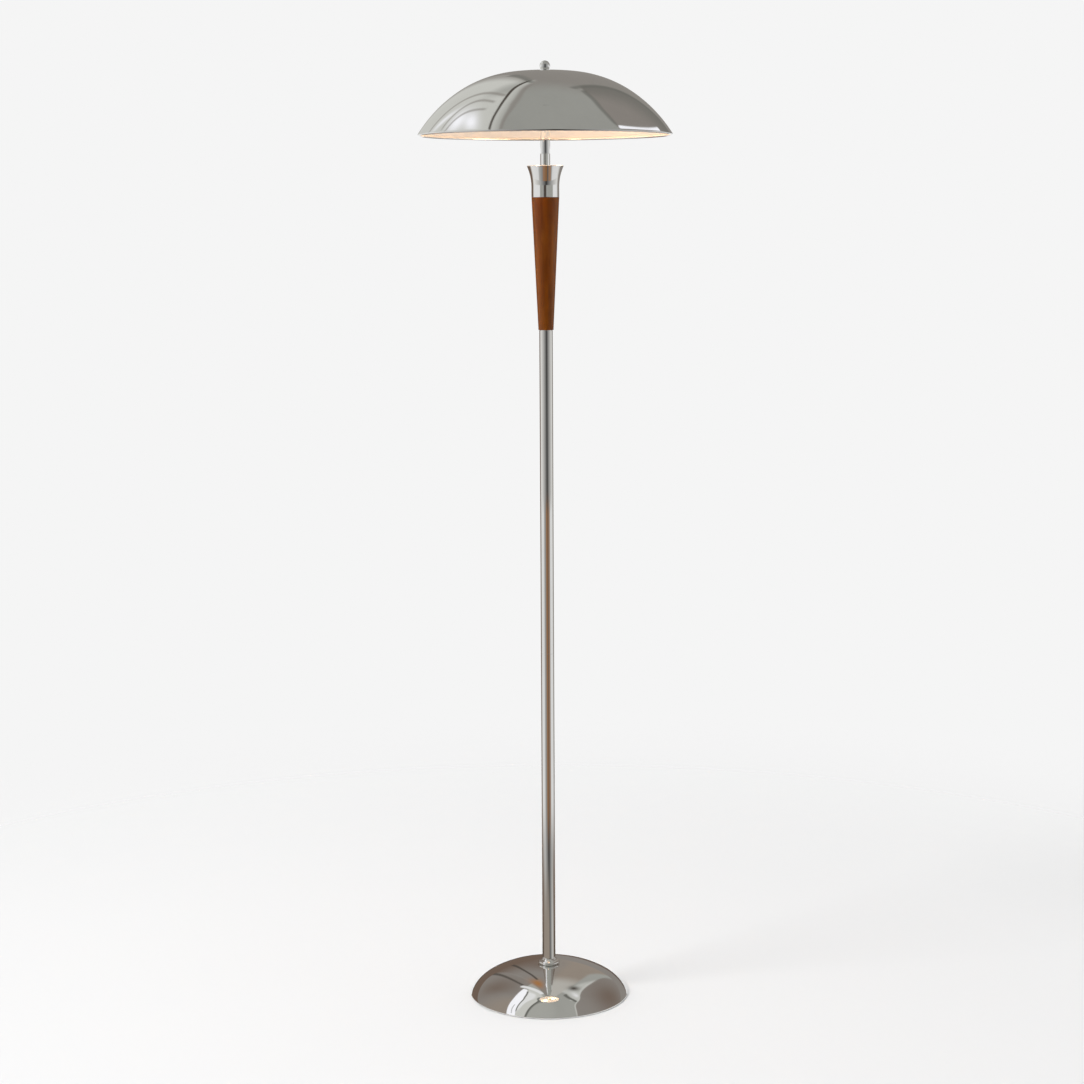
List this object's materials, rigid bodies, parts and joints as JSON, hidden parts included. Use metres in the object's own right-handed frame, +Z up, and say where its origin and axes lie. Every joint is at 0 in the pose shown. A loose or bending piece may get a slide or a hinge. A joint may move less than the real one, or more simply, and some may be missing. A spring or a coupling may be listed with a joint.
{
  "type": "mushroom floor lamp",
  "caption": "Floor lamp with a wide low dome shade, slim metal post, tapered wood neck under a flared cup, and a weighted dome base.",
  "frame": {"origin": "centre of the base on the floor, where the post's axis meets it", "axes": "+Z up along the post, +Y to the back where the cord comes in, -Y to the front, +X to the right seen from the front"},
  "size_m": [0.4168, 0.4168, 1.5751],
  "materials": {
    "polished_chrome": "mirror-polished chrome plate on steel",
    "zinc_steel": "dull zinc-plated steel hardware",
    "cast_iron": "rough black-painted casting",
    "foam_pad": "matt black foam sheet",
    "wood": "reddish-brown stained wood under satin lacquer",
    "white_enamel": "warm white semi-gloss enamel",
    "socket_black": "moulded phenolic, low sheen",
    "brass": "plain brass",
    "cap_aluminium": "bright pressed aluminium",
    "insulator_black": "glossy black moulding",
    "frosted_glass": "frosted white envelope, lit warm white",
    "nylon_black": "moulded nylon",
    "cable_pvc": "dark flexible plastic sheath"
  },
  "bodies": {
    "lamp": {"base_cover": "polished_chrome", "foot_ring": "polished_chrome", "pole_lower": "polished_chrome", "pole_upper": "polished_chrome", "neck_cup": "polished_chrome", "neck_washer": "polished_chrome", "stem_tube": "polished_chrome", "shade": "polished_chrome", "finial_washer": "polished_chrome", "base_washer": "zinc_steel", "base_lock_washer": "zinc_steel", "base_nut": "zinc_steel", "base_pipe": "zinc_steel", "pole_foot_insert": "zinc_steel", "pole_joint_lower_insert": "zinc_steel", "pole_joint_upper_insert": "zinc_steel", "pole_joint_pipe": "zinc_steel", "pole_top_insert": "zinc_steel", "neck_pipe": "zinc_steel", "cup_washer": "zinc_steel", "cup_nut": "zinc_steel", "stem_foot_insert": "zinc_steel", "stem_top_insert": "zinc_steel", "cluster_pipe": "zinc_steel", "cluster_nut": "zinc_steel", "socket_nuts": "zinc_steel", "socket_pipe_left": "zinc_steel", "socket_pipe_right": "zinc_steel", "shade_rod": "zinc_steel", "shade_rod_nuts": "zinc_steel", "shade_seat_washer": "zinc_steel", "switch_nut": "zinc_steel", "base_weight": "cast_iron", "base_pad": "foam_pad", "wood_neck": "wood", "cluster_can": "white_enamel", "cluster_cover": "white_enamel", "socket_body_left": "socket_black", "socket_body_right": "socket_black", "switch_body": "socket_black", "socket_shell_left": "brass", "socket_shell_right": "brass", "socket_contact_left": "brass", "socket_contact_right": "brass", "bulb_cap_left": "cap_aluminium", "bulb_cap_right": "cap_aluminium", "bulb_tip_left": "insulator_black", "bulb_tip_right": "insulator_black", "bulb_glass_left": "frosted_glass", "bulb_glass_right": "frosted_glass", "cord_bushing": "nylon_black", "splice_caps": "nylon_black", "lamp_cable": "cable_pvc", "cluster_leads": "cable_pvc"},
    "knob": {"switch_shaft": "brass", "switch_knob": "insulator_black"},
    "ball": {"finial": "polished_chrome"}
  },
  "joints": [
    {"name": "switch_turn", "type": "hinge", "parent": "lamp", "child": "knob", "pos_m": [0.01928, -0.02298, 1.492], "axis": [0.6428, -0.766, 0], "continuous": true},
    {"name": "finial_turn", "type": "hinge", "parent": "lamp", "child": "ball", "pos_m": [0, 0, 1.5665], "axis": [0, 0, 1], "continuous": true}
  ]
}
